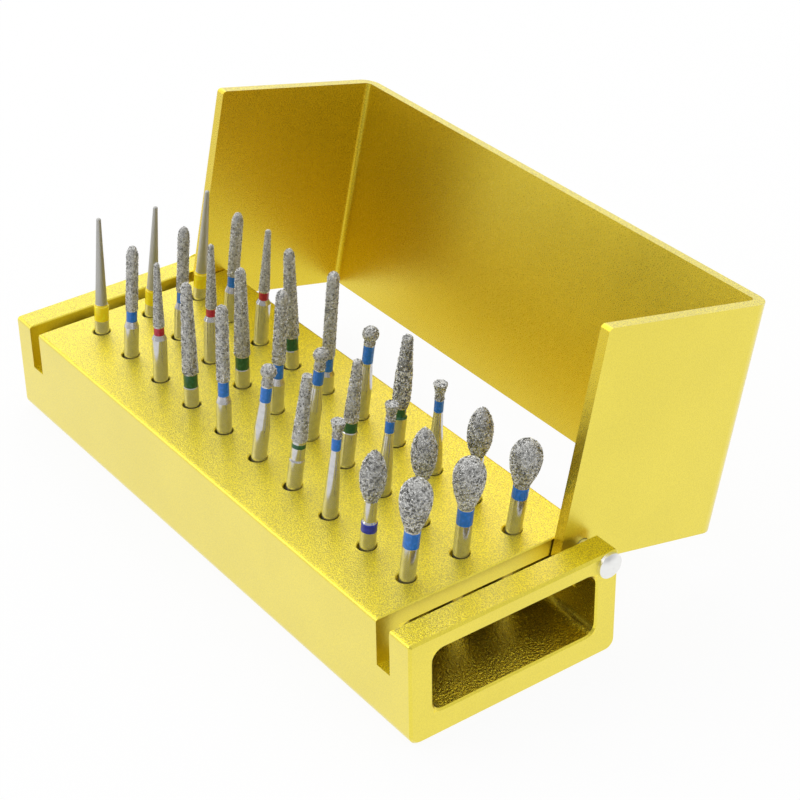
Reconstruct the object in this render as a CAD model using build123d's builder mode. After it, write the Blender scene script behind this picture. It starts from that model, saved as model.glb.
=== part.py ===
"""Dental bur block: a hollow anodised block with a hinged lid and thirty seated burs.

Millimetres. The origin is the centre of the block's underside. X runs along the block,
Y from the front to the hinge side, Z up. The lid stands open, as it does in use.
"""

from build123d import *

import os
from dataclasses import dataclass, replace
from math import atan2, cos, hypot, radians, sin, tan

# Block: one length of rounded hollow section
BLOCK_LENGTH = 74.0
BLOCK_DEPTH = 24.6
BLOCK_HEIGHT = 11.7
TOP_WALL = 1.8
FLOOR_WALL = 2.9
SIDE_WALL = 2.65
TUNNEL_CORNER_R = 1.2
BOTTOM_EDGE_R = 1.2
TOP_EDGE_R = 0.4
END_EDGE_BEVEL = 0.25
MOUTH_CHAMFER = 0.2

# Slots that the lid's end plates swing in
END_FRAME = 3.1
SLOT_WIDTH = 2.05
SLOT_DEPTH = 5.2
SLOT_EDGE_BEVEL = 0.12

# Grid of bur holes in the top wall
HOLE_COLUMNS = 10
FIRST_HOLE_FROM_END = 8.65
ROW_PITCH = 6.3
HOLE_CLEARANCE = 0.03
HOLE_CHAMFER = 0.12

# Lid: one sheet bent into a shallow channel, hung on two rivets
SHEET = 1.2
BEND_INNER_R = 0.6
PLATE_SIDE_GAP = 0.15
LID_HEIGHT = 21.35
LID_FRONT_SETBACK = 0.2
LID_REAR_OVERHANG = 0.7
LID_FLOOR_GAP = 1.3
PLATE_CORNER_R = 0.45
LID_OPEN_DEG = 102.5

# Hinge rivets
PIVOT_FROM_REAR = 1.3
PIVOT_BELOW_TOP = 1.2
RIVET_D = 1.5
RIVET_SEAT_CLEARANCE = 0.02
RIVET_RUNNING_CLEARANCE = 0.05
RIVET_GRIP = 4.0
RIVET_HEAD_D = 2.7
RIVET_RIM = 0.35
RIVET_HEAD_HEIGHT = 0.75

# Friction-grip shank that every bur shares
SHANK_D = 1.6
SHANK_END_CHAMFER = 0.15

# Pulls on the heads' curves: a quarter of an ellipse, and a bud's side running up to its point
ROUND = 0.5523
POINT_SWELL = 0.50
POINT_SLOPE = 0.17
POINT_DROP = 0.13

# How far each bur leans in its loose hole, in degrees, from the left column to the right:
# along the heading first, then square to it, to the left of someone looking along it
LEAN_HEADING_DEG = 54.0
LEANS_DEG = {
    "front": (3, 5, 2, 1, 2, 8, 8, 6, 5, 6),
    "middle": (6, 5, 3, 2, 5, 8, 7, 6, 3, 5),
    "rear": (7, 7, 6, 1, 5, 7, 6, 4, 5, 7),
}
CROSS_LEANS_DEG = {
    "front": (2, -1, 1, 1, 1, 2, 0, 0, -1, 0),
    "middle": (-2, 1, 2, -2, -2, -2, 0, -1, -1, -2),
    "rear": (-2, -1, 0, -1, -2, 0, 1, -2, -2, -4),
}


@dataclass
class Bur:
    """Sizes of one bur. Heights are measured up from the end of its shank."""

    shape: str
    length: float
    shoulder: float
    neck: float
    neck_d: float
    head: float
    head_d: float
    tip_d: float = 0.0
    tip_height: float = 0.0
    widest: float = 0.0
    widest_d: float = 0.0
    flare_out: float = 0.0
    flare_up: float = 0.0
    swell: float = 0.0


NEEDLE = Bur("taper", 22.5, 11.9, 12.0, 1.36, 12.2, 1.30, tip_d=0.50, tip_height=0.15)
TORPEDO = Bur("taper", 22.2, 12.4, 13.1, 1.18, 14.45, 1.24, tip_d=1.20, tip_height=1.3)
SLIM_TAPER = Bur("taper", 22.6, 13.7, 14.2, 1.12, 15.2, 1.16, tip_d=0.56, tip_height=0.26)
LONG_TAPER = Bur("taper", 23.1, 10.9, 11.0, 1.50, 12.6, 1.64, tip_d=1.08, tip_height=0.9)
CYLINDER = Bur("taper", 23.3, 12.2, 12.95, 1.16, 14.75, 1.32, tip_d=1.20, tip_height=0.8)
CYLINDER_REAR = replace(CYLINDER, shoulder=10.9, neck=11.4, head=13.1)
BALL = Bur("ball", 19.5, 12.3, 15.0, 1.16, 17.2, 0.96, widest_d=1.54)
BALL_REAR = replace(BALL, head=17.5, widest_d=1.65)
CONE = Bur("taper", 21.0, 12.7, 12.8, 1.46, 14.05, 1.50, tip_d=0.92, tip_height=0.4)
CONE_FRONT = replace(CONE, length=21.7, shoulder=11.9, neck=12.1, head=14.2, tip_height=0.1)
CONE_REAR = Bur("barrel", 21.4, 11.9, 12.1, 1.24, 13.1, 1.32, tip_d=0.92, tip_height=0.4,
                widest=15.6, widest_d=1.68)
INVERTED_CONE = Bur("inverted", 19.25, 10.0, 15.7, 0.96, 17.4, 0.84, tip_d=1.38, tip_height=1.2)
INVERTED_CONE_FRONT = replace(INVERTED_CONE, length=19.6, neck=16.1, head=17.8)
BUD = Bur("bud", 19.7, 11.5, 11.8, 1.24, 14.1, 1.10, tip_d=0.40, tip_height=0.15,
          widest=16.9, widest_d=2.40, flare_out=0.14, flare_up=0.29, swell=0.50)
EGG = Bur("bud", 19.75, 14.1, 14.2, 1.50, 14.3, 1.44,
          widest=17.8, widest_d=3.00, flare_out=0.10, flare_up=0.35, swell=0.43)
EGG_REAR = replace(EGG, length=19.5, widest=17.6)

# The set, one kind to a column from the left; a row may hold its own version
COLUMNS = (
    ("needle", NEEDLE, {}),
    ("torpedo", TORPEDO, {}),
    ("slim_taper", SLIM_TAPER, {}),
    ("long_taper", LONG_TAPER, {}),
    ("cylinder", CYLINDER, {"rear": CYLINDER_REAR}),
    ("ball", BALL, {"rear": BALL_REAR}),
    ("cone", CONE, {"front": CONE_FRONT, "rear": CONE_REAR}),
    ("inverted_cone", INVERTED_CONE, {"front": INVERTED_CONE_FRONT}),
    ("bud", BUD, {}),
    ("egg", EGG, {"rear": EGG_REAR}),
)

# Places worked out from the sizes above
SLOT_FLOOR_Z = BLOCK_HEIGHT - SLOT_DEPTH
SLOT_INNER_X = BLOCK_LENGTH / 2 - END_FRAME - SLOT_WIDTH
SLOT_X = SLOT_INNER_X + SLOT_WIDTH / 2
SLOT_MOUTH = SLOT_WIDTH + 2 * SLOT_EDGE_BEVEL
PIVOT_Y = BLOCK_DEPTH / 2 - PIVOT_FROM_REAR
PIVOT_Z = BLOCK_HEIGHT - PIVOT_BELOW_TOP
SHANK_R = SHANK_D / 2
HOLE_WALL = TOP_WALL - HOLE_CHAMFER
LEAN_PAIRS = [pair for row in LEANS_DEG for pair in zip(LEANS_DEG[row], CROSS_LEANS_DEG[row])]
MAX_LEAN = radians(max(hypot(*pair) for pair in LEAN_PAIRS))
HOLE_R = (SHANK_D / cos(MAX_LEAN) + HOLE_WALL * tan(MAX_LEAN) + HOLE_CLEARANCE) / 2
LID_HALF_WIDTH = SLOT_INNER_X + PLATE_SIDE_GAP + SHEET
LID_DEPTH = BLOCK_DEPTH - LID_FRONT_SETBACK + LID_REAR_OVERHANG
COLUMN_PITCH = (BLOCK_LENGTH - 2 * FIRST_HOLE_FROM_END) / (HOLE_COLUMNS - 1)
ROWS = {"front": -ROW_PITCH, "middle": 0.0, "rear": ROW_PITCH}

os.makedirs("parts", exist_ok=True)


def finish(piece, name):
    """Label a finished piece and write it to its own file."""
    piece.part.label = name
    export_step(piece.part, f"parts/{name}.step")


def close_nose(radius, start, tip):
    """Round the outline over to the tip: a cap where it is low, else a quarter of an ellipse."""
    rise = tip - start
    if rise > radius:
        Bezier((radius, start), (radius, start + ROUND * rise), (ROUND * radius, tip), (0, tip))
    else:
        RadiusArc((radius, start), (0, tip), -(radius**2 + rise**2) / (2 * rise))


def build_block():
    tunnel_depth = BLOCK_DEPTH - 2 * SIDE_WALL
    tunnel_height = BLOCK_HEIGHT - TOP_WALL - FLOOR_WALL
    with BuildPart() as block:
        with BuildSketch(Plane.YZ.offset(-BLOCK_LENGTH / 2)) as section:
            with Locations((0, BLOCK_HEIGHT / 2)):
                Rectangle(BLOCK_DEPTH, BLOCK_HEIGHT)
            fillet(section.vertices().group_by(Axis.Y)[0], BOTTOM_EDGE_R)
            fillet(section.vertices().group_by(Axis.Y)[-1], TOP_EDGE_R)
            with Locations((0, FLOOR_WALL + tunnel_height / 2)):
                RectangleRounded(tunnel_depth, tunnel_height, TUNNEL_CORNER_R, mode=Mode.SUBTRACT)
        extrude(amount=BLOCK_LENGTH)
        for end in (0, -1):
            face = block.faces().sort_by(Axis.X)[end]
            chamfer(face.outer_wire().edges(), END_EDGE_BEVEL)
        for end in (0, -1):
            face = block.faces().sort_by(Axis.X)[end]
            chamfer(face.inner_wires()[0].edges(), MOUTH_CHAMFER)
        # Slots cut down from the top, right across the block, their top edges broken
        with BuildSketch(Plane.XZ):
            with Locations((SLOT_X, BLOCK_HEIGHT), (-SLOT_X, BLOCK_HEIGHT)):
                Rectangle(SLOT_WIDTH, 2 * SLOT_DEPTH)
                Trapezoid(SLOT_MOUTH, SLOT_EDGE_BEVEL, 45, align=(Align.CENTER, Align.MIN), rotation=180)
        extrude(amount=BLOCK_DEPTH, both=True, mode=Mode.SUBTRACT)
        # Bur holes through the top wall only
        with Locations(Plane.XY.offset(BLOCK_HEIGHT)):
            with GridLocations(COLUMN_PITCH, ROW_PITCH, HOLE_COLUMNS, len(ROWS)):
                CounterSinkHole(HOLE_R, HOLE_R + HOLE_CHAMFER, TOP_WALL + TUNNEL_CORNER_R, 90)
        # Rivet holes: through each end frame, across the slot and on into the body
        reach = END_FRAME + SLOT_WIDTH + RIVET_GRIP
        for start, way in ((BLOCK_LENGTH / 2, -1), (-BLOCK_LENGTH / 2, 1)):
            with BuildSketch(Plane.YZ.offset(start)):
                with Locations((PIVOT_Y, PIVOT_Z)):
                    Circle(RIVET_D / 2 + RIVET_SEAT_CLEARANCE)
            extrude(amount=way * reach, mode=Mode.SUBTRACT)
    finish(block, "block")


def build_lid():
    """One bent sheet, drawn as a channel standing on the opened lid's own plane."""
    opening = radians(LID_OPEN_DEG)
    bottom = SLOT_FLOOR_Z + LID_FLOOR_GAP - PIVOT_Z
    top = bottom + LID_HEIGHT
    rear = PIVOT_FROM_REAR + LID_REAR_OVERHANG
    across = Plane((0, PIVOT_Y, PIVOT_Z), x_dir=(1, 0, 0), z_dir=(0, -cos(opening), sin(opening)))
    with BuildPart() as lid:
        with BuildSketch(across.offset(-rear)) as section:
            with Locations((0, (bottom + top) / 2)):
                Rectangle(2 * LID_HALF_WIDTH, LID_HEIGHT)
            fillet(section.vertices().group_by(Axis.Y)[-1], BEND_INNER_R + SHEET)
            with BuildSketch(mode=Mode.PRIVATE) as hollow:
                with Locations((0, (bottom + top) / 2 - SHEET)):
                    Rectangle(2 * (LID_HALF_WIDTH - SHEET), LID_HEIGHT)
                fillet(hollow.vertices().group_by(Axis.Y)[-1], BEND_INNER_R)
            add(hollow.sketch, mode=Mode.SUBTRACT)
        extrude(amount=LID_DEPTH)
        corners = lid.edges().filter_by(Axis.X).filter_by(lambda edge: edge.length < SHEET * 1.01)
        fillet(corners, PLATE_CORNER_R)
        with BuildSketch(Plane.YZ.offset(-LID_HALF_WIDTH)):
            with Locations((PIVOT_Y, PIVOT_Z)):
                Circle(RIVET_D / 2 + RIVET_RUNNING_CLEARANCE)
        extrude(amount=2 * LID_HALF_WIDTH, mode=Mode.SUBTRACT)
    finish(lid, "lid")


def build_rivet(name, side):
    """A domed rivet, head outside the end face and shaft running inwards."""
    shaft = END_FRAME + SLOT_WIDTH + RIVET_GRIP
    seat = (side * BLOCK_LENGTH / 2, PIVOT_Y, PIVOT_Z)
    half_section = Plane(seat, x_dir=(0, 1, 0), z_dir=(0, 0, -side))
    radius = RIVET_HEAD_D / 2
    with BuildPart() as rivet:
        with BuildSketch(half_section):
            with BuildLine():
                Polyline(
                    (0, RIVET_HEAD_HEIGHT),
                    (0, -shaft),
                    (RIVET_D / 2, -shaft),
                    (RIVET_D / 2, 0),
                    (radius, 0),
                    (radius, RIVET_RIM),
                )
                close_nose(radius, RIVET_RIM, RIVET_HEAD_HEIGHT)
            make_face()
        revolve(axis=Axis(seat, (side, 0, 0)))
    finish(rivet, name)


def draw_taper(bur):
    """A straight or tapered head, closed by a rounded nose."""
    nose = bur.length - bur.tip_height
    Line((bur.head_d / 2, bur.head), (bur.tip_d / 2, nose))
    close_nose(bur.tip_d / 2, nose, bur.length)


def draw_ball(bur):
    """A neck that runs into a ball."""
    radius = bur.widest_d / 2
    centre = bur.length - radius
    meet = centre - (radius**2 - (bur.head_d / 2) ** 2) ** 0.5
    Line((bur.neck_d / 2, bur.head), (bur.head_d / 2, meet))
    ThreePointArc((bur.head_d / 2, meet), (radius, centre), (0, bur.length))


def draw_inverted(bur):
    """A short cone that is widest at its flat top."""
    foot = bur.length - bur.tip_height
    rim = (bur.tip_d - bur.head_d) / 8
    Polyline(
        (bur.head_d / 2, bur.head),
        (bur.head_d / 2, foot),
        (bur.tip_d / 2, bur.length - rim),
        (bur.tip_d / 2 - rim, bur.length),
        (0, bur.length),
    )


def draw_barrel(bur):
    """A head that swells to its widest above the neck and then tapers to a round nose."""
    nose = bur.length - bur.tip_height
    Spline(
        (bur.head_d / 2, bur.head),
        (bur.widest_d / 2, bur.widest),
        (bur.tip_d / 2, nose),
        tangents=((1, 3), (-1, 9)),
    )
    close_nose(bur.tip_d / 2, nose, bur.length)


def draw_bud(bur):
    """A bud or egg: a flare from the neck to the widest ring, then a pointed or a round nose."""
    radius = bur.widest_d / 2
    flare = bur.widest - bur.head
    Bezier(
        (bur.head_d / 2, bur.head),
        (bur.head_d / 2 + bur.flare_out * flare, bur.head + bur.flare_up * flare),
        (radius, bur.widest - bur.swell * flare),
        (radius, bur.widest),
    )
    if bur.tip_d == 0:
        close_nose(radius, bur.widest, bur.length)
        return
    nose = bur.length - bur.tip_height
    rise = nose - bur.widest
    Bezier(
        (radius, bur.widest),
        (radius, bur.widest + POINT_SWELL * rise),
        (bur.tip_d / 2 + POINT_SLOPE * rise, nose - POINT_DROP * rise),
        (bur.tip_d / 2, nose),
    )
    close_nose(bur.tip_d / 2, nose, bur.length)


HEADS = {
    "taper": draw_taper,
    "ball": draw_ball,
    "inverted": draw_inverted,
    "barrel": draw_barrel,
    "bud": draw_bud,
}


def build_bur(name, bur, hole_x, hole_y, lean, cross_lean):
    """One bur, standing on the tunnel floor and leaning about the middle of its hole."""
    heading = radians(LEAN_HEADING_DEG) + atan2(cross_lean, lean)
    tilt = radians(hypot(lean, cross_lean))
    up = (sin(tilt) * cos(heading), sin(tilt) * sin(heading), cos(tilt))
    out = (cos(tilt) * cos(heading), cos(tilt) * sin(heading), -sin(tilt))
    grip_z = BLOCK_HEIGHT - HOLE_CHAMFER - HOLE_WALL / 2
    foot_z = FLOOR_WALL + (SHANK_R - SHANK_END_CHAMFER) * sin(tilt)
    drop = (grip_z - foot_z) / cos(tilt)
    foot = (hole_x - drop * up[0], hole_y - drop * up[1], foot_z)
    half_section = Plane(foot, x_dir=out, z_dir=Vector(*out).cross(Vector(*up)))
    with BuildPart() as piece:
        with BuildSketch(half_section):
            with BuildLine():
                Polyline(
                    (0, bur.length),
                    (0, 0),
                    (SHANK_R - SHANK_END_CHAMFER, 0),
                    (SHANK_R, SHANK_END_CHAMFER),
                    (SHANK_R, bur.shoulder),
                    (bur.neck_d / 2, bur.neck),
                    (bur.neck_d / 2, bur.head),
                )
                if bur.shape != "ball":
                    Line((bur.neck_d / 2, bur.head), (bur.head_d / 2, bur.head))
                HEADS[bur.shape](bur)
            make_face()
        revolve(axis=Axis(foot, up))
    finish(piece, name)


build_block()
build_lid()
build_rivet("hinge_rivet_right", 1)
build_rivet("hinge_rivet_left", -1)
for column, (kind, usual, special) in enumerate(COLUMNS):
    column_x = (column - (HOLE_COLUMNS - 1) / 2) * COLUMN_PITCH
    for row, row_y in ROWS.items():
        lean, cross_lean = LEANS_DEG[row][column], CROSS_LEANS_DEG[row][column]
        build_bur(f"{kind}_bur_{row}", special.get(row, usual), column_x, row_y, lean, cross_lean)
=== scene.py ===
import math

import bpy
import numpy as np
from mathutils import Matrix, Vector


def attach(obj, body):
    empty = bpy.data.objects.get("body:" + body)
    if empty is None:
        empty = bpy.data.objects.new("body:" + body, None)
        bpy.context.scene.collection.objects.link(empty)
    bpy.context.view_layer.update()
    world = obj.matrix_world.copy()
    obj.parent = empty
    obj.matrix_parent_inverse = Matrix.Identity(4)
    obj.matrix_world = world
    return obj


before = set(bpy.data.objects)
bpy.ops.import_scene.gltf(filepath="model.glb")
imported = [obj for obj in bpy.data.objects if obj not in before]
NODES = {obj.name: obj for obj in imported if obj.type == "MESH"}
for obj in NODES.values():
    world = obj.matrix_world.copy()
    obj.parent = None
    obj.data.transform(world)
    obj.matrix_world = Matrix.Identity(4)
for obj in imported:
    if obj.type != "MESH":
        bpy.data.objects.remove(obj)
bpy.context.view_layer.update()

MM = 0.001

# Reflectance of the dyed metal under its clear oxide, as the side faces show it
GOLD = (0.940, 0.790, 0.068)
# Painted light: a brighter, less pale copy of the gold for the faces that look up
UPWARD_GOLD_PAINTED_LIGHT = (0.970, 0.820, 0.010)
# Painted shade: a darker, deeper copy of the gold for the lid's hidden inner faces
LID_INSIDE_GOLD_PAINTED_SHADE = (0.800, 0.605, 0.006)
# Painted light: a brighter copy of the gold for the inside of the tunnel
TUNNEL_GOLD_PAINTED_LIGHT = (0.990, 0.810, 0.045)
# The dark between the flakes: the grain's own tone, and painted glitter where faces look up
FLAKE_SHADE = (0.480, 0.380, 0.010)

# The anodised skins: the grain, relief and roughness of the open faces, then for the hidden
# ones the gold with painted light in the tunnel and painted shade inside the lid, their grain and
# change of roughness
BLOCK_SKIN = dict(
    grain=0.125,
    upward_relief=0.090,
    upright_relief=0.020,
    roughness=0.34,
    # The tunnel takes the gold with painted light
    hidden_painted_shading_gold=TUNNEL_GOLD_PAINTED_LIGHT,
    hidden_grain=0.26,
    roughness_change=-0.12,
)
LID_SKIN = dict(
    grain=0.125,
    upward_relief=0.016,
    upright_relief=0.016,
    roughness=0.33,
    # The lid's hidden faces take the gold with painted shade
    hidden_painted_shading_gold=LID_INSIDE_GOLD_PAINTED_SHADE,
    hidden_grain=0.125,
    roughness_change=-0.04,
)
# How far the normal of a face rises where it starts and ends to count as upward
UPWARD = (0.60, 0.95)
# How much of the gold shows between flakes: on side faces the grain's own tone, on upward faces
# painted glitter, on hidden faces painted light
FLAKE_EDGES = (0.40, 0.60)
UPRIGHT_DYE = 0.80
UPWARD_PAINTED_GLITTER = 0.20
HIDDEN_PAINTED_LIGHT = 0.75
# Slow clouds in the dye, and how far they darken it
CLOUD = 9.0
CLOUD_EDGES = (0.3, 0.7)
CLOUD_SHADE = 0.92
ROUGHNESS_EDGES = (0.25, 0.75)
ROUGHNESS_SPREAD = 0.06
# No noise grid may lie along a flat face, so each is turned
NOISE_TURN = (0.5, 0.4, 0.3)

# The block's tunnel, in millimetres, to just past its walls
TUNNEL_HALF_DEPTH = 9.68
TUNNEL_MIDDLE_Z = 6.40
TUNNEL_HALF_HEIGHT = 3.55
# The way the inside of the open lid's back panel faces, and how closely a face follows it, or
# looks inwards from an end plate, where it starts and ends to count as hidden
LID_OPEN = math.radians(102.5)
PANEL_FACING = (0.0, -math.sin(LID_OPEN), -math.cos(LID_OPEN))
PANEL_EDGES = (0.3, 0.9)
PLATE_EDGES = (-0.9, -0.3)

# Rivets: bright metal, a little uneven in its gloss and its surface
RIVET_METAL = (0.900, 0.900, 0.880)
RIVET_ROUGHNESS = (0.28, 0.42)
RIVET_PATCH = 0.4
RIVET_PATCH_EDGES = (0.3, 0.7)
RIVET_DENT = 0.3
RIVET_RELIEF = 0.010

# Burs: bare steel, its duller patches, the plated ground of the head and the paints of the bands
STEEL = (0.640, 0.635, 0.640)
STEEL_METALLIC = 0.88
STEEL_PATCH = 0.6
STEEL_PATCH_EDGES = (0.35, 0.75)
STEEL_PATCH_SHADE = 0.88
STEEL_ROUGHNESS = 0.16
STEEL_GRAIN = 0.06
STEEL_RELIEF = 0.003
NICKEL = (0.480, 0.475, 0.455)
NICKEL_ROUGHER = 0.24
NICKEL_RELIEF = 0.020
BAND_BLUE = (0.010, 0.155, 0.560)
BAND_NAVY = (0.014, 0.030, 0.360)
BAND_GREEN = (0.012, 0.100, 0.035)
BAND_RED = (0.420, 0.014, 0.035)
BAND_YELLOW = (0.950, 0.720, 0.012)
# Thin spots in the paint: their size, how much paler they are, and how far they show
THIN_SPOT = 0.35
THIN_SPOT_EDGES = (0.45, 0.75)
THIN_SPOT_GAIN = 1.6
THIN_SPOT_LIFT = 0.012
THIN_SPOT_SHARE = 0.7
# Edges of paint and plating: how soft they are, and how far they wander over how long a stretch
BAND_EDGE = 0.03
GRIT_EDGE = 0.04
EDGE_WANDER = 0.12
EDGE_STRETCH = 0.5

# Each kind of bur: its painted band (from, to, colour), where its grit starts, and the size of its
# crystals. A needle's grit is too fine to show as crystals.
KINDS = {
    "needle": dict(band=(10.2, 12.15, BAND_YELLOW), grit=12.2, grain=None),
    "torpedo": dict(band=(13.1, 14.4, BAND_BLUE), grit=14.45, grain=0.17),
    "slim_taper": dict(band=(14.2, 15.1, BAND_RED), grit=15.2, grain=0.13),
    "long_taper": dict(band=(11.0, 12.5, BAND_GREEN), grit=12.6, grain=0.18),
    "cylinder": dict(band=(12.95, 14.65, BAND_BLUE), grit=14.75, grain=0.18),
    "ball": dict(band=(15.4, 17.05, BAND_BLUE), grit=17.2, grain=0.17),
    "cone": dict(band=(12.8, 13.95, BAND_GREEN), grit=14.05, grain=0.18),
    "inverted_cone": dict(band=(16.0, 17.35, BAND_BLUE), grit=17.4, grain=0.17),
    "bud": dict(band=(10.65, 11.6, BAND_NAVY), grit=14.1, grain=0.19),
    "egg": dict(band=(12.4, 14.15, BAND_BLUE), grit=14.3, grain=0.18),
}
# Burs whose own version differs from their kind
SPECIAL = {
    "cylinder_bur_rear": dict(band=(11.4, 13.0, BAND_BLUE), grit=13.1),
    "ball_bur_rear": dict(band=(15.35, 17.4, BAND_BLUE), grit=17.5),
    "cone_bur_front": dict(band=(13.45, 13.95, BAND_GREEN), grit=14.2),
    "cone_bur_rear": dict(band=(11.9, 13.0, BAND_GREEN), grit=13.1),
    "egg_bur_rear": dict(band=(12.9, 14.2, BAND_BLUE)),
    "inverted_cone_bur_front": dict(band=(16.4, 17.75, BAND_BLUE), grit=17.8),
}

# Diamond grit
GRIT_LIGHT = (0.800, 0.800, 0.780)
GRIT_DARK = (0.150, 0.150, 0.142)
GRIT_EDGES = (0.10, 0.80)
GRIT_METALLIC = 0.60
GRIT_ROUGHNESS = (0.18, 0.45)
# Crystals by the grain: their spacing, how far they stray, stand proud and vary in size
CRYSTAL_SPACING = 0.85
STRAY_AROUND = 0.3
STRAY_ALONG = 0.4
PROUD = (-0.15, 0.12)
CRYSTAL_SIZE = (0.40, 0.66)
CRYSTAL_FLATNESS = (0.75, 1.0)
FEWEST_CRYSTALS = 3
OUTLINE_STEPS = 200
# Vertices and heights, in metres, that agree to these many digits are the same
POINT_DIGITS = 7
HEIGHT_DIGITS = 6
START_SLACK = 0.02
SEED = 20
OCTAHEDRON = np.array([(1, 0, 0), (0, 1, 0), (-1, 0, 0), (0, -1, 0), (0, 0, 1), (0, 0, -1)], float)
OCTAHEDRON_FACES = np.array(
    [(0, 1, 4), (1, 2, 4), (2, 3, 4), (3, 0, 4), (1, 0, 5), (2, 1, 5), (3, 2, 5), (0, 3, 5)]
)

# Studio: floor, world and lamps
FLOOR_REACH = 3.0
FLOOR_GREY = 0.85
FLOOR_GLOW_SHARE = 0.93
WHITE = (1.0, 1.0, 1.0, 1.0)
BRIGHT_SIDE = (-0.45, 0.30, 0.84)
BRIGHT_EDGES = (-0.2, 0.9)
DIM_WORLD = 0.50
BRIGHT_WORLD = 1.05
LAMP_AIM = (0, 0, 0.01)

# Camera at the photograph's place: degrees around from the front, up, and turned about its view
CAMERA_AROUND = 54.235
CAMERA_UP = 32.317
CAMERA_ROLL = -0.874
CAMERA_PLACE = (0.161249, -0.102418, 0.134893)
CAMERA_LENS = 99.157


class Graph:
    """A material's node tree, with short ways to add nodes and link them."""

    def __init__(self, name):
        self.material = bpy.data.materials.new(name)
        self.material.use_nodes = True
        self.tree = self.material.node_tree
        self.tree.nodes.clear()

    def node(self, kind, **settings):
        made = self.tree.nodes.new(kind)
        for key, value in settings.items():
            setattr(made, key, value)
        return made

    def feed(self, socket, value):
        if isinstance(value, bpy.types.NodeSocket):
            self.tree.links.new(value, socket)
        else:
            socket.default_value = value

    def maths(self, operation, a, b=0.0):
        made = self.node("ShaderNodeMath", operation=operation)
        self.feed(made.inputs[0], a)
        self.feed(made.inputs[1], b)
        return made.outputs[0]

    def dot(self, a, b):
        made = self.node("ShaderNodeVectorMath", operation="DOT_PRODUCT")
        self.feed(made.inputs[0], a)
        self.feed(made.inputs[1], b)
        return made.outputs["Value"]

    def split(self, vector):
        made = self.node("ShaderNodeSeparateXYZ")
        self.feed(made.inputs[0], vector)
        return made.outputs

    def near(self, value, middle_mm, reach_mm):
        """1 where value is within reach_mm of middle_mm."""
        made = self.node("ShaderNodeMath", operation="COMPARE")
        for socket, item in zip(made.inputs, (value, middle_mm * MM, reach_mm * MM)):
            self.feed(socket, item)
        return made.outputs[0]

    def ramp(self, value, low, high, to_low=0.0, to_high=1.0):
        """A smooth step from to_low, where value is low, to to_high, where it is high."""
        made = self.node("ShaderNodeMapRange", interpolation_type="SMOOTHSTEP")
        for socket, item in zip(made.inputs, (value, low, high, to_low, to_high)):
            self.feed(socket, item)
        return made.outputs[0]

    def noise(self, place, grain_mm, detail=2.0, rough=0.5):
        """Noise whose blobs are about grain_mm across."""
        turned = self.node("ShaderNodeMapping")
        self.feed(turned.inputs["Vector"], place)
        self.feed(turned.inputs["Rotation"], NOISE_TURN)
        made = self.node("ShaderNodeTexNoise")
        self.feed(made.inputs["Vector"], turned.outputs[0])
        self.feed(made.inputs["Scale"], self.maths("DIVIDE", 1.0 / MM, grain_mm))
        self.feed(made.inputs["Detail"], detail)
        self.feed(made.inputs["Roughness"], rough)
        return made.outputs["Fac"]

    def mix(self, share, a, b):
        made = self.node("ShaderNodeMix", data_type="RGBA")
        self.feed(made.inputs["Factor"], share)
        self.feed(made.inputs["A"], a if isinstance(a, bpy.types.NodeSocket) else (*a, 1.0))
        self.feed(made.inputs["B"], b if isinstance(b, bpy.types.NodeSocket) else (*b, 1.0))
        return made.outputs["Result"]

    def bump(self, height, distance):
        made = self.node("ShaderNodeBump")
        self.feed(made.inputs["Strength"], 1.0)
        self.feed(made.inputs["Distance"], distance)
        self.feed(made.inputs["Height"], height)
        return made.outputs["Normal"]

    def place(self):
        return self.node("ShaderNodeTexCoord").outputs["Object"]

    def normal(self):
        return self.node("ShaderNodeTexCoord").outputs["Normal"]

    def shade(self, **sockets):
        shader = self.node("ShaderNodeBsdfPrincipled")
        for key, value in sockets.items():
            self.feed(shader.inputs[key.replace("_", " ")], value)
        self.finish(shader)
        return self.material

    def finish(self, shader):
        out = self.node("ShaderNodeOutputMaterial")
        self.tree.links.new(shader.outputs[0], out.inputs["Surface"])


def inside_block(g, place):
    """1 in the block's tunnel, 0 on its outside and in its slots."""
    at = g.split(place)
    across = g.near(at["Y"], 0.0, TUNNEL_HALF_DEPTH)
    return g.maths("MULTIPLY", across, g.near(at["Z"], TUNNEL_MIDDLE_Z, TUNNEL_HALF_HEIGHT))


def inside_lid(g, place):
    """1 on the faces that the closed lid hides, 0 on its outside and edges."""
    side = g.maths("SIGN", g.split(place)["X"])
    normal = g.normal()
    outward = g.maths("MULTIPLY", g.split(normal)["X"], side)
    plates = g.ramp(outward, *PLATE_EDGES, 1.0, 0.0)
    panel = g.ramp(g.dot(normal, PANEL_FACING), *PANEL_EDGES)
    return g.maths("MAXIMUM", plates, panel)


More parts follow.
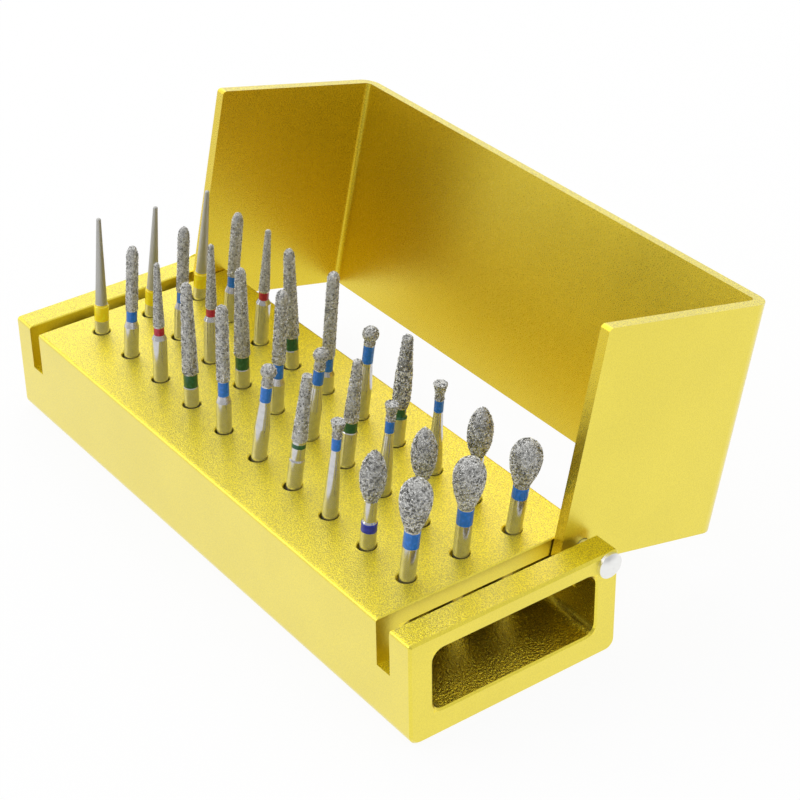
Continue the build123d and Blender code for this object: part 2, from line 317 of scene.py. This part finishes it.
def anodised(
    name,
    inside,
    grain,
    upward_relief,
    upright_relief,
    roughness,
    hidden_painted_shading_gold,
    hidden_grain,
    roughness_change,
):
    """Blasted and anodised aluminium: coarse grain where it faces up, finer grain elsewhere; painted
    glitter on the upward faces, painted light and shade in the gold.
    """
    g = Graph(name)
    place = g.place()
    upward = g.ramp(g.split(g.normal())["Z"], *UPWARD)
    hidden = inside(g, place)
    grain = g.ramp(hidden, 0.0, 1.0, grain, hidden_grain)
    fine = g.noise(place, grain, rough=0.6)
    flake = g.ramp(g.noise(place, grain, rough=0.7), *FLAKE_EDGES)
    # Painted glitter: the flakes darken the gold most where a face looks up; painted light: fewer dark
    # flakes on the hidden faces
    open_grain_and_painted_glitter = g.ramp(upward, 0.0, 1.0, UPRIGHT_DYE, UPWARD_PAINTED_GLITTER)
    least_share_painted_glitter_and_light = g.maths("MAXIMUM", open_grain_and_painted_glitter, g.maths("MULTIPLY", hidden, HIDDEN_PAINTED_LIGHT))
    level = g.ramp(flake, 0.0, 1.0, least_share_painted_glitter_and_light, 1.0)
    clouds = g.ramp(g.noise(place, CLOUD), *CLOUD_EDGES, CLOUD_SHADE, 1.0)
    # Painted light and shade: a brighter gold where a face looks up, a lighter one in the tunnel and a
    # darker one inside the lid
    gold_with_painted_shading = g.mix(hidden, g.mix(upward, GOLD, UPWARD_GOLD_PAINTED_LIGHT), hidden_painted_shading_gold)
    smoothest = roughness - ROUGHNESS_SPREAD
    roughest = roughness + ROUGHNESS_SPREAD
    rough = g.ramp(fine, *ROUGHNESS_EDGES, smoothest, roughest)
    relief = g.ramp(upward, 0.0, 1.0, upright_relief * MM, upward_relief * MM)
    return g.shade(
        Base_Color=g.mix(g.maths("MULTIPLY", level, clouds), FLAKE_SHADE, gold_with_painted_shading),
        Metallic=1.0,
        Roughness=g.maths("ADD", rough, g.maths("MULTIPLY", hidden, roughness_change)),
        Coat_Weight=1.0,
        Coat_Roughness=roughness,
        Normal=g.bump(fine, relief),
    )


def rivet_metal():
    g = Graph("rivet_metal")
    place = g.place()
    return g.shade(
        Base_Color=(*RIVET_METAL, 1.0),
        Metallic=1.0,
        Roughness=g.ramp(g.noise(place, RIVET_PATCH), *RIVET_PATCH_EDGES, *RIVET_ROUGHNESS),
        Normal=g.bump(g.noise(place, RIVET_DENT), RIVET_RELIEF * MM),
    )


def bur_material(name, foot, up, band, grit):
    """Polished shank, a painted band and the plated ground of the head, told apart by height."""
    g = Graph(name)
    place = g.place()
    offset = g.node("ShaderNodeVectorMath", operation="SUBTRACT")
    g.feed(offset.inputs[0], place)
    g.feed(offset.inputs[1], foot)
    along = g.dot(offset.outputs[0], up / MM)
    wave = g.maths("SUBTRACT", g.noise(place, EDGE_STRETCH), 0.5)
    height = g.maths("ADD", along, g.maths("MULTIPLY", wave, EDGE_WANDER))
    low, high, paint = band
    above = g.ramp(height, low - BAND_EDGE, low + BAND_EDGE)
    below = g.ramp(height, high - BAND_EDGE, high + BAND_EDGE, 1.0, 0.0)
    painted = g.maths("MULTIPLY", above, below)
    plated = g.ramp(height, grit - GRIT_EDGE, grit + GRIT_EDGE)
    patches = g.ramp(g.noise(place, STEEL_PATCH, detail=3.0), *STEEL_PATCH_EDGES)
    steel = g.mix(patches, STEEL, tuple(STEEL_PATCH_SHADE * c for c in STEEL))
    thin_paint = tuple(min(1.0, THIN_SPOT_GAIN * c + THIN_SPOT_LIFT) for c in paint)
    spots = g.noise(place, THIN_SPOT, detail=3.0)
    thin = g.ramp(spots, *THIN_SPOT_EDGES, 0.0, THIN_SPOT_SHARE)
    colour = g.mix(painted, steel, g.mix(thin, paint, thin_paint))
    bare = g.maths("SUBTRACT", 1.0, painted)
    relief = g.maths("ADD", g.maths("MULTIPLY", plated, NICKEL_RELIEF * MM), STEEL_RELIEF * MM)
    return g.shade(
        Base_Color=g.mix(plated, colour, NICKEL),
        Metallic=g.maths("MULTIPLY", bare, STEEL_METALLIC),
        Roughness=g.maths("ADD", g.maths("MULTIPLY", plated, NICKEL_ROUGHER), STEEL_ROUGHNESS),
        Normal=g.bump(g.noise(place, STEEL_GRAIN, detail=1.0), relief),
    )


def grit_material(name, grain_mm):
    """Diamond crystals, pale and dark ones side by side."""
    g = Graph(name)
    cells = g.node("ShaderNodeTexVoronoi")
    g.feed(cells.inputs["Vector"], g.place())
    g.feed(cells.inputs["Scale"], 1.0 / (grain_mm * MM))
    pick = g.node("ShaderNodeSeparateColor")
    g.feed(pick.inputs[0], cells.outputs["Color"])
    return g.shade(
        Base_Color=g.mix(g.ramp(pick.outputs[0], *GRIT_EDGES), GRIT_DARK, GRIT_LIGHT),
        Metallic=GRIT_METALLIC,
        Roughness=g.ramp(pick.outputs[1], 0.0, 1.0, *GRIT_ROUGHNESS),
    )


def finish_with(node, material):
    """Give a CAD node's material slots this material."""
    for material_slot in node.material_slots:
        material_slot.material = material


def bur_axis(node):
    """The foot and direction of a bur's own axis, and its vertices' heights and radii, in metres."""
    points = np.array([tuple(v.co) for v in node.data.vertices])
    points = np.unique(np.round(points, POINT_DIGITS), axis=0)
    centre = points.mean(0)
    up = np.linalg.svd(points - centre, full_matrices=False)[2][0]
    up = up * np.sign(up[2])
    along = (points - centre) @ up
    radius = np.linalg.norm(points - centre - along[:, None] * up, axis=1)
    foot = centre + along.min() * up
    return foot, up, along - along.min(), radius


def head_outline(heights, radii, start):
    """The head's outline above start, as heights and radii from its foot to its tip."""
    keep = heights > start - START_SLACK * MM
    points = np.stack([heights[keep], radii[keep]], axis=1).tolist()
    pairs = {(round(h, HEIGHT_DIGITS), round(r, HEIGHT_DIGITS)) for h, r in points}
    outline = {}
    for height, radius in sorted(pairs):
        outline[height] = max(radius, outline.get(height, 0.0))
    return np.array(list(outline)), np.array(list(outline.values()))


def crystal_spots(path_h, path_r, step, rng):
    """Evenly scattered spots on the surface that the outline turns: run along it, and angle."""
    run = np.concatenate([[0.0], np.cumsum(np.hypot(np.diff(path_h), np.diff(path_r)))])
    rows = max(int(run[-1] / step), FEWEST_CRYSTALS)
    runs, angles = [], []
    for row in range(rows):
        middle = (row + 0.5) * run[-1] / rows
        radius = np.interp(middle, run, path_r)
        count = max(int(2 * math.pi * radius / step), FEWEST_CRYSTALS)
        start = rng.uniform(0.0, 1.0)
        turn = np.arange(count) + start + rng.uniform(-STRAY_AROUND, STRAY_AROUND, count)
        runs.append(middle + rng.uniform(-STRAY_ALONG, STRAY_ALONG, count) * step)
        angles.append(turn * 2 * math.pi / count)
    return run, np.clip(np.concatenate(runs), 0.0, run[-1]), np.concatenate(angles)


def random_turns(count, rng):
    """Rotation matrices, one for each crystal."""
    q = rng.normal(size=(count, 4))
    w, x, y, z = (q / np.linalg.norm(q, axis=1)[:, None]).T
    rows = (
        (1 - 2 * (y * y + z * z), 2 * (x * y - z * w), 2 * (x * z + y * w)),
        (2 * (x * y + z * w), 1 - 2 * (x * x + z * z), 2 * (y * z - x * w)),
        (2 * (x * z - y * w), 2 * (y * z + x * w), 1 - 2 * (x * x + y * y)),
    )
    return np.stack([np.stack(row, axis=1) for row in rows], axis=1)


def grit_coat(name, foot, up, outline, grain, rng, material):
    """Crystals half sunk in a bur's head, all over the surface that its outline turns, in metres."""
    outline_h, outline_r = outline
    path_h = np.append(outline_h, outline_h[-1])
    path_r = np.append(outline_r, 0.0)
    run, spots, angles = crystal_spots(path_h, path_r, grain * CRYSTAL_SPACING, rng)
    walk = np.linspace(0.0, run[-1], OUTLINE_STEPS)
    walk_h = np.interp(walk, run, path_h)
    walk_r = np.interp(walk, run, path_r)
    rise = np.interp(spots, walk, np.gradient(walk_h, walk))
    widen = np.interp(spots, walk, np.gradient(walk_r, walk))
    count = len(spots)
    lift = rng.uniform(*PROUD, count) * grain
    height = np.interp(spots, walk, walk_h) - widen * lift
    radius = np.interp(spots, walk, walk_r) + rise * lift
    side = np.cross(up, (1.0, 0.0, 0.0))
    side /= np.linalg.norm(side)
    front = np.cross(up, side)
    around = np.cos(angles)[:, None] * side + np.sin(angles)[:, None] * front
    centre = foot + height[:, None] * up + radius[:, None] * around
    size = grain * rng.uniform(*CRYSTAL_SIZE, (count, 1, 1))
    size = size * rng.uniform(*CRYSTAL_FLATNESS, (count, 1, 3))
    corners = (OCTAHEDRON[None] * size) @ random_turns(count, rng).transpose(0, 2, 1)
    verts = (centre[:, None] + corners).reshape(-1, 3)
    first = len(OCTAHEDRON) * np.arange(count)
    faces = (OCTAHEDRON_FACES[None] + first[:, None, None]).reshape(-1, 3)
    coat = add_mesh(name, verts.tolist(), faces.tolist(), material)
    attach(coat, "base")


def add_mesh(name, verts, faces, material):
    """A new mesh object of one material, linked into the scene."""
    mesh = bpy.data.meshes.new(name)
    mesh.from_pydata(verts, [], faces)
    mesh.update()
    mesh.materials.append(material)
    made = bpy.data.objects.new(name, mesh)
    bpy.context.scene.collection.objects.link(made)
    return made


def white_floor():
    """A floor that is white to the camera and to reflections, and still takes the shadow."""
    g = Graph("floor_white")
    path = g.node("ShaderNodeLightPath").outputs
    seen = g.maths("MAXIMUM", path["Is Camera Ray"], path["Is Glossy Ray"])
    seen = g.maths("MAXIMUM", seen, path["Is Transmission Ray"])
    matte = g.node("ShaderNodeBsdfDiffuse")
    g.feed(matte.inputs["Color"], (FLOOR_GREY, FLOOR_GREY, FLOOR_GREY, 1.0))
    glow = g.node("ShaderNodeEmission")
    g.feed(glow.inputs["Color"], WHITE)
    g.feed(glow.inputs["Strength"], 1.0)
    blend = g.node("ShaderNodeMixShader")
    g.feed(blend.inputs[0], g.maths("MULTIPLY", seen, FLOOR_GLOW_SHARE))
    g.feed(blend.inputs[1], matte.outputs[0])
    g.feed(blend.inputs[2], glow.outputs[0])
    g.finish(blend)
    corners = [(x * FLOOR_REACH, y * FLOOR_REACH, 0) for x, y in ((-1, -1), (1, -1), (1, 1), (-1, 1))]
    return add_mesh("floor", corners, [(0, 1, 2, 3)], g.material)


def studio_world():
    """A pale studio, brighter overhead and to the rear left, and white where it is seen."""
    world = bpy.data.worlds.new("studio")
    bpy.context.scene.world = world
    world.use_nodes = True
    nodes = world.node_tree.nodes
    link = world.node_tree.links.new
    nodes.clear()
    path = nodes.new("ShaderNodeLightPath")
    way = nodes.new("ShaderNodeTexCoord")
    towards = nodes.new("ShaderNodeVectorMath")
    towards.operation = "DOT_PRODUCT"
    towards.inputs[1].default_value = Vector(BRIGHT_SIDE).normalized()
    link(way.outputs["Generated"], towards.inputs[0])
    glow = nodes.new("ShaderNodeMapRange")
    glow.inputs["From Min"].default_value = BRIGHT_EDGES[0]
    glow.inputs["From Max"].default_value = BRIGHT_EDGES[1]
    glow.inputs["To Min"].default_value = DIM_WORLD
    glow.inputs["To Max"].default_value = BRIGHT_WORLD
    link(towards.outputs["Value"], glow.inputs["Value"])
    seen = nodes.new("ShaderNodeMix")
    seen.inputs["B"].default_value = 1.0
    link(path.outputs["Is Camera Ray"], seen.inputs["Factor"])
    link(glow.outputs[0], seen.inputs["A"])
    back = nodes.new("ShaderNodeBackground")
    back.inputs["Color"].default_value = WHITE
    link(seen.outputs["Result"], back.inputs["Strength"])
    out = nodes.new("ShaderNodeOutputWorld")
    link(back.outputs[0], out.inputs["Surface"])


def softbox(name, place, size, power):
    """A square lamp at place, facing the object."""
    lamp = bpy.data.lights.new(name, "AREA")
    lamp.shape = "SQUARE"
    lamp.size = size
    lamp.energy = power
    holder = bpy.data.objects.new(name, lamp)
    bpy.context.scene.collection.objects.link(holder)
    holder.location = place
    holder.rotation_euler = (Vector(LAMP_AIM) - Vector(place)).to_track_quat("-Z", "Y").to_euler()


def photo_camera():
    """The camera, at the photograph's place."""
    lens = bpy.data.cameras.new("camera")
    lens.sensor_width = 36.0
    lens.lens = CAMERA_LENS
    lens.clip_start = 0.01
    lens.clip_end = 20.0
    camera = bpy.data.objects.new("camera", lens)
    bpy.context.scene.collection.objects.link(camera)
    around = Matrix.Rotation(math.radians(CAMERA_AROUND), 4, "Z")
    tip = Matrix.Rotation(math.radians(90 - CAMERA_UP), 4, "X")
    roll = Matrix.Rotation(math.radians(CAMERA_ROLL), 4, "Z")
    camera.matrix_world = Matrix.Translation(CAMERA_PLACE) @ around @ tip @ roll
    bpy.context.scene.camera = camera


# Block, lid and rivets
finish_with(NODES["block"], anodised("anodised_block", inside_block, **BLOCK_SKIN))
finish_with(NODES["lid"], anodised("anodised_lid", inside_lid, **LID_SKIN))
bright = rivet_metal()
for side in ("right", "left"):
    finish_with(NODES[f"hinge_rivet_{side}"], bright)

# Burs: a band on the steel, and crystals on the heads
rng = np.random.default_rng(SEED)
for kind, usual in KINDS.items():
    grain = usual["grain"]
    grit = grit_material(f"grit_{kind}", grain) if grain else None
    for row in ("front", "middle", "rear"):
        name = f"{kind}_bur_{row}"
        sizes = {**usual, **SPECIAL.get(name, {})}
        foot, up, heights, radii = bur_axis(NODES[name])
        finish_with(NODES[name], bur_material(f"steel_{name}", foot, up, sizes["band"], sizes["grit"]))
        if grit:
            outline = head_outline(heights, radii, sizes["grit"] * MM)
            grit_coat(f"{kind}_grit_{row}", foot, up, outline, grain * MM, rng, grit)

# Studio and camera
white_floor()
studio_world()
softbox("overhead", (-0.60, 0.30, 0.85), size=1.0, power=3.0)
softbox("front", (-0.50, -0.60, 0.50), size=0.6, power=1.8)
photo_camera()
bpy.context.scene.view_settings.view_transform = "Standard"
